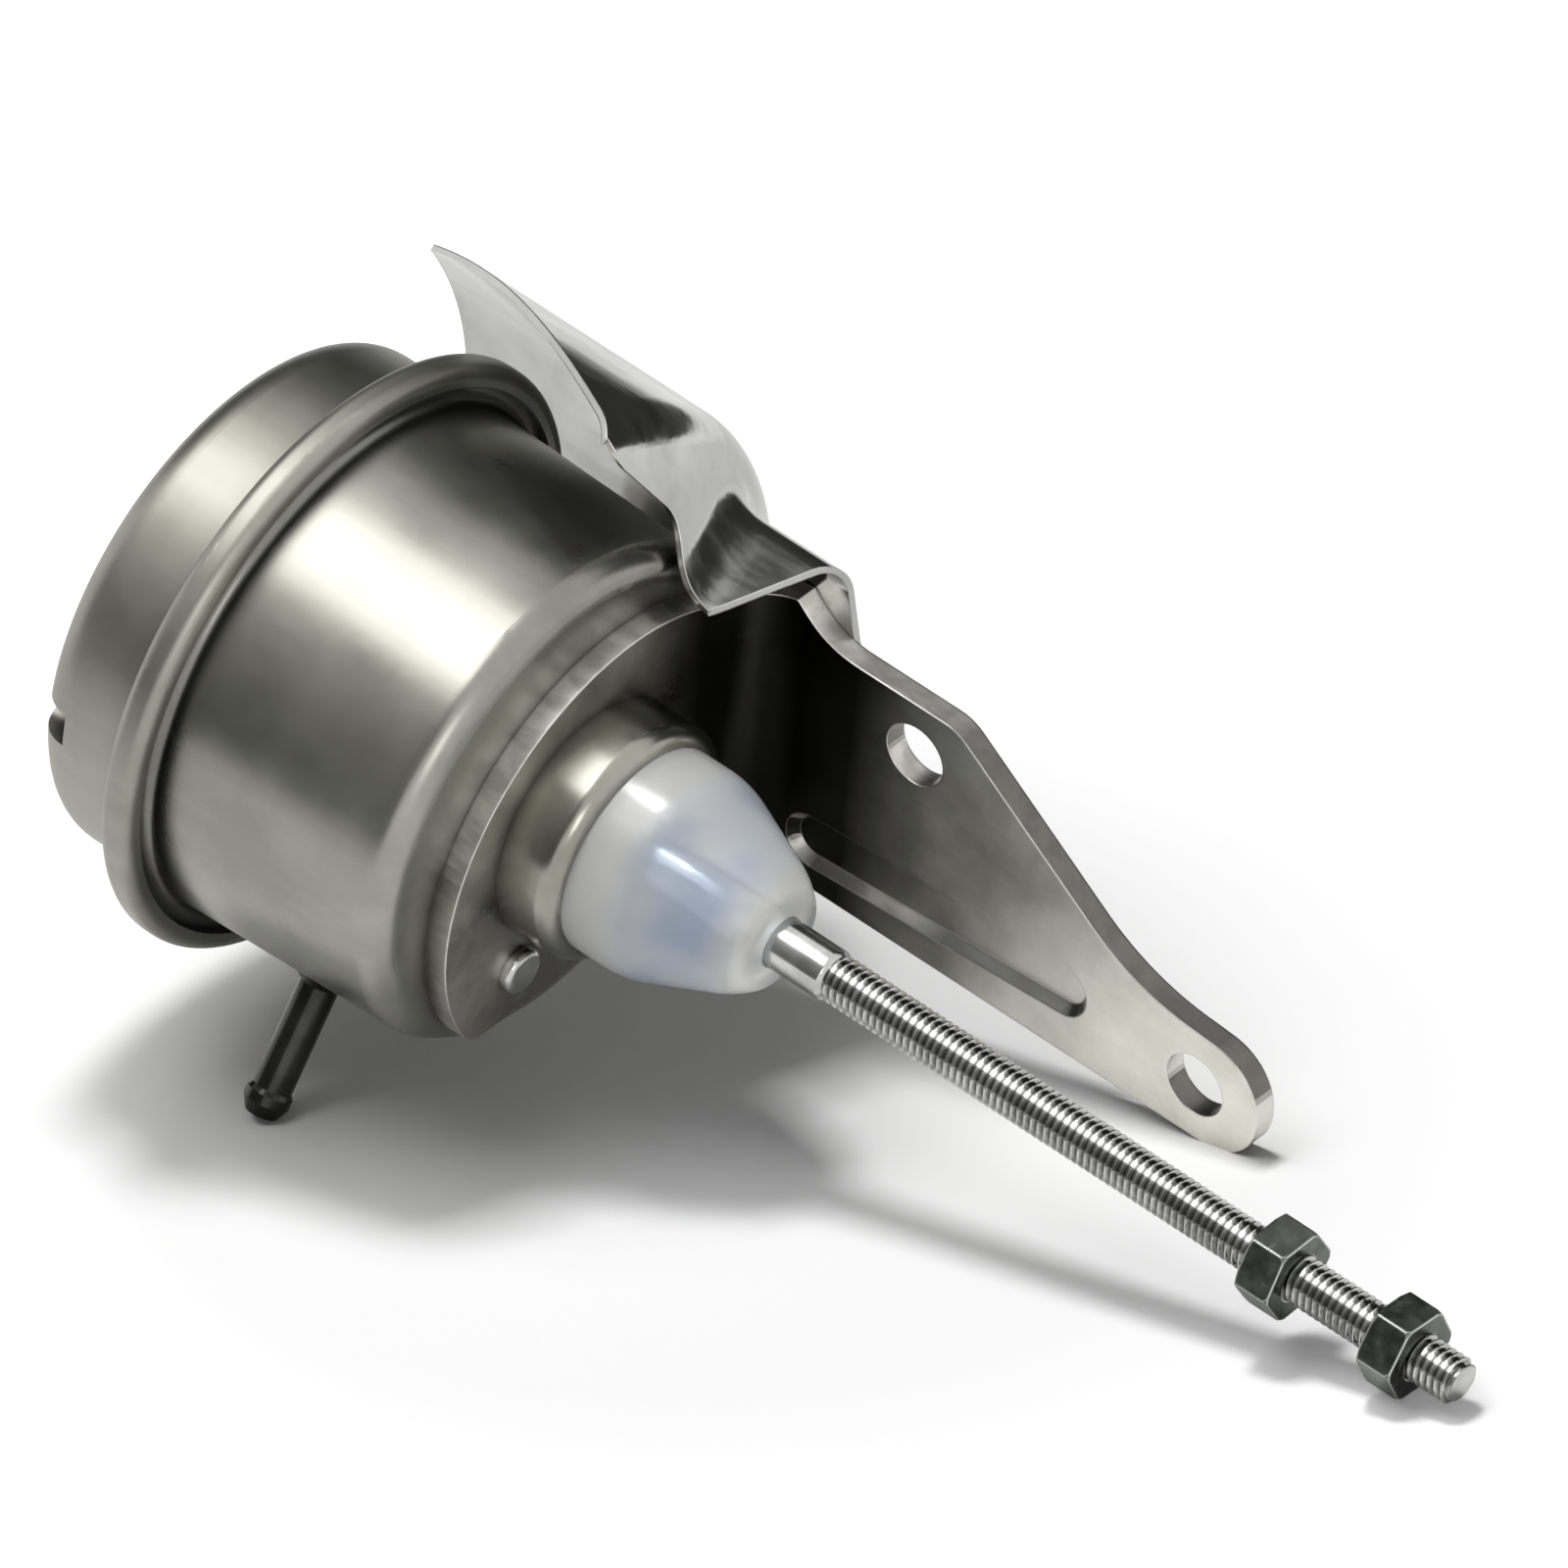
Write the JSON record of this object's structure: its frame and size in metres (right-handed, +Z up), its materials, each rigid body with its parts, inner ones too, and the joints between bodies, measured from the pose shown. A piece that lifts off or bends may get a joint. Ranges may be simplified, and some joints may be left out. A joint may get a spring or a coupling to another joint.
{
  "type": "wastegate actuator",
  "caption": "Sprung diaphragm actuator: a crimped steel canister with a folded mounting bracket, curved heat shield, soft rod boot and a threaded rod with adjusting nuts.",
  "frame": {"origin": "centre of the bracket arm's two mounting holes, halfway through the arm", "axes": "+X along the rod towards its threaded tip, +Y out of the arm's outer face, away from the rod, +Z up towards the bracket's shouldered edge"},
  "size_m": [0.1907, 0.0843, 0.0883],
  "materials": {
    "canister_steel": "satin drawn steel, warm grey",
    "collar_steel": "satin pressed steel",
    "fitting_steel": "dark smooth steel",
    "bracket_steel": "dull mill-finish plate with bright cut edges",
    "shield_steel": "smooth bright sheet, slightly marked",
    "rivet_steel": "bright plated",
    "rod_zinc": "bright zinc plate",
    "nut_steel": "dark grey-green plate with bright edges",
    "boot_silicone": "milky translucent silicone",
    "diaphragm_rubber": "matt black rubber",
    "seal_rubber": "black rubber",
    "inner_steel": "plain plated steel",
    "spring_steel": "drawn spring wire",
    "bush_bronze": "plain sintered bronze"
  },
  "bodies": {
    "housing": {"rear_cover": "canister_steel", "front_can": "canister_steel", "hose_fitting": "fitting_steel", "diaphragm": "diaphragm_rubber", "return_spring": "spring_steel", "spring_seat": "inner_steel", "collar": "collar_steel", "guide_bush": "bush_bronze", "rod_seal": "seal_rubber", "seal_retainer": "inner_steel", "boot": "boot_silicone", "bracket": "bracket_steel", "plate_rivet_left": "rivet_steel", "plate_rivet_right": "rivet_steel", "heat_shield": "shield_steel"},
    "rod_assembly": {"actuator_rod": "rod_zinc", "piston_cup": "inner_steel", "backing_plate": "inner_steel", "piston_washer": "inner_steel", "adjuster_nut": "nut_steel", "lock_nut": "nut_steel"}
  },
  "joints": [
    {"name": "rod_slide", "type": "slide", "parent": "housing", "child": "rod_assembly", "axis": [1, 0, 0], "range_m": [0, 0.012], "stiffness_N_per_m": 840, "springref_m": -0.028, "deforming": ["return_spring", "boot", "diaphragm"]}
  ]
}
